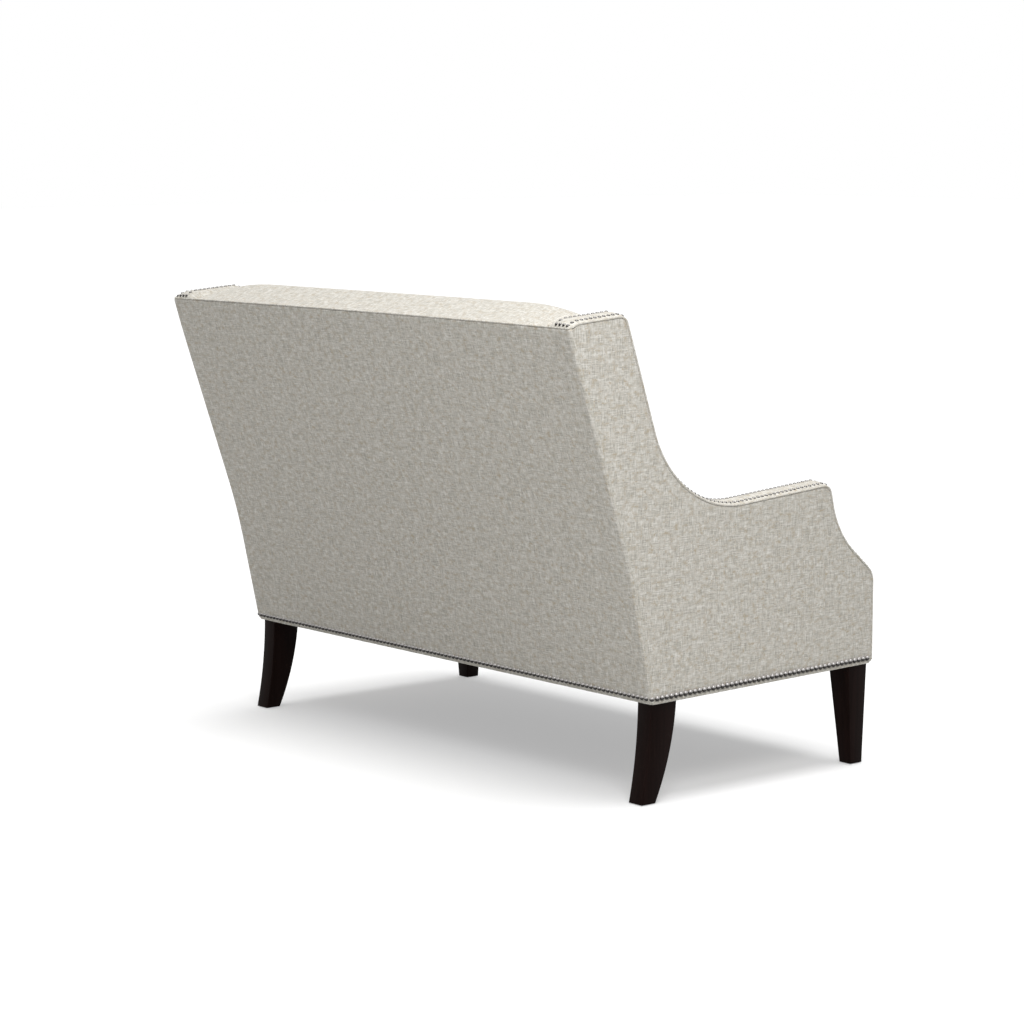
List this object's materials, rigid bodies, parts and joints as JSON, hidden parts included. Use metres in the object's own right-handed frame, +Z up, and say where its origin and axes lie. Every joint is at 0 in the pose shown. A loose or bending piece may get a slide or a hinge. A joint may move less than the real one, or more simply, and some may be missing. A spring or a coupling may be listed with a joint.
{
  "type": "settee",
  "caption": "Upholstered settee with a raked tight back, short wings, scooped arms, nail trim, dark sabre rear legs and a loose bench seat cushion.",
  "frame": {"origin": "on the floor under the middle of the overall box", "axes": "+X along the settee towards the sitter's left, the seat faces -Y, +Z up"},
  "size_m": [1.3756, 0.8634, 1.0103],
  "materials": {
    "upholstery_fabric": "matte",
    "leg_wood": "satin",
    "frame_wood": "matte",
    "plywood": "matte",
    "steel": "satin",
    "glide_plastic": "matte",
    "zip_metal": "satin",
    "zip_tape": "matte",
    "webbing": "matte",
    "dust_cloth": "matte",
    "deck_cloth": "matte",
    "foam": "matte",
    "wadding": "matte"
  },
  "bodies": {
    "settee_frame": {"back_foam": "foam", "back_lower_rail": "frame_wood", "back_seat_rail": "frame_wood", "back_top_rail": "frame_wood", "back_top_welt": "upholstery_fabric", "back_uprights": "frame_wood", "back_webbing": "webbing", "base_welt": "upholstery_fabric", "corner_blocks": "frame_wood", "deck_cloth": "deck_cloth", "dust_cover": "dust_cloth", "frame_dowels": "frame_wood", "front_rail_cover": "upholstery_fabric", "front_seat_rail": "frame_wood", "inside_back_cover": "upholstery_fabric", "left_arm_border": "upholstery_fabric", "left_arm_foam": "foam", "left_arm_rail": "frame_wood", "left_arm_welt": "upholstery_fabric", "left_border_wadding": "wadding", "left_bottom_rail": "frame_wood", "left_front_leg": "leg_wood", "left_front_post": "frame_wood", "left_inner_panel": "plywood", "left_inside_arm_cover": "upholstery_fabric", "left_outside_arm_cover": "upholstery_fabric", "left_rear_leg": "leg_wood", "left_rear_post": "frame_wood", "left_side_panel": "plywood", "leg_glides": "glide_plastic", "leg_hanger_bolts": "steel", "leg_inserts": "steel", "outside_back_cover": "upholstery_fabric", "right_arm_border": "upholstery_fabric", "right_arm_foam": "foam", "right_arm_rail": "frame_wood", "right_arm_welt": "upholstery_fabric", "right_border_wadding": "wadding", "right_bottom_rail": "frame_wood", "right_front_leg": "leg_wood", "right_front_post": "frame_wood", "right_inner_panel": "plywood", "right_inside_arm_cover": "upholstery_fabric", "right_outside_arm_cover": "upholstery_fabric", "right_rear_leg": "leg_wood", "right_rear_post": "frame_wood", "right_side_panel": "plywood", "seat_deck_pad": "foam", "seat_springs": "steel", "seat_stretcher": "frame_wood", "spring_clips": "steel"},
    "seat_cushion": {"seat_cushion_cover": "upholstery_fabric", "seat_cushion_core": "foam", "seat_cushion_welts": "upholstery_fabric", "zip_tape": "zip_tape"},
    "zip_slider": {"zip_slider": "zip_metal"}
  },
  "joints": [
    {"name": "cushion_lift", "type": "slide", "parent": "settee_frame", "child": "seat_cushion", "axis": [0, 0, 1], "range_m": [0, 0.3]},
    {"name": "zip_slide", "type": "slide", "parent": "seat_cushion", "child": "zip_slider", "axis": [-1, 0, 0], "range_m": [0, 0.871]}
  ]
}
